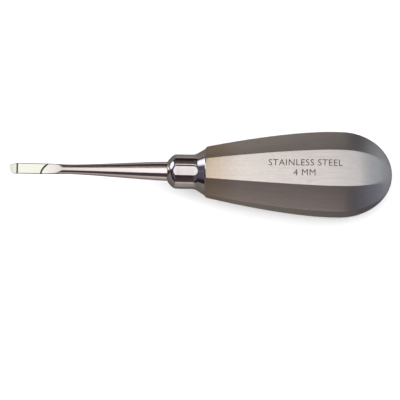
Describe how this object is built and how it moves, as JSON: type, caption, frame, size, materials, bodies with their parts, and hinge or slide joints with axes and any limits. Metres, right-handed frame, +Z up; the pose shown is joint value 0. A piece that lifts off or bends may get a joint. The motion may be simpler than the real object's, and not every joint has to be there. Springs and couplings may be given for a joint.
{
  "type": "dental elevator",
  "caption": "Straight dental elevator: round tapered shank with a flat ground blade, polished neck ferrule and an eight-sided hollow steel handle with a rounded end.",
  "frame": {"origin": "on the tool's axis, in the middle of the cylindrical seat on the neck ferrule", "axes": "+X along the tool from the blade to the rounded end of the handle; +Z out of the facet above the blade's ground face; +Y to the left of somebody who looks from the blade to the handle with +Z up"},
  "size_m": [0.14, 0.0294, 0.0294],
  "materials": {
    "polished_steel": "hardened stainless steel, polished",
    "mirror_steel": "stainless steel, turned and mirror polished",
    "satin_steel": "stainless steel, satin finish brushed along the handle, with a faint heat tint near the neck",
    "braze_alloy": "silver brazing alloy, polished with the neck",
    "plain_steel": "stainless steel as turned"
  },
  "bodies": {
    "root": {"working_end": "polished_steel", "braze_ring": "braze_alloy", "neck_ferrule": "mirror_steel", "cross_pin": "plain_steel", "tang_bush": "plain_steel", "handle_shell_upper": "satin_steel", "handle_shell_lower": "satin_steel", "vent_plug": "satin_steel"}
  },
  "joints": []
}
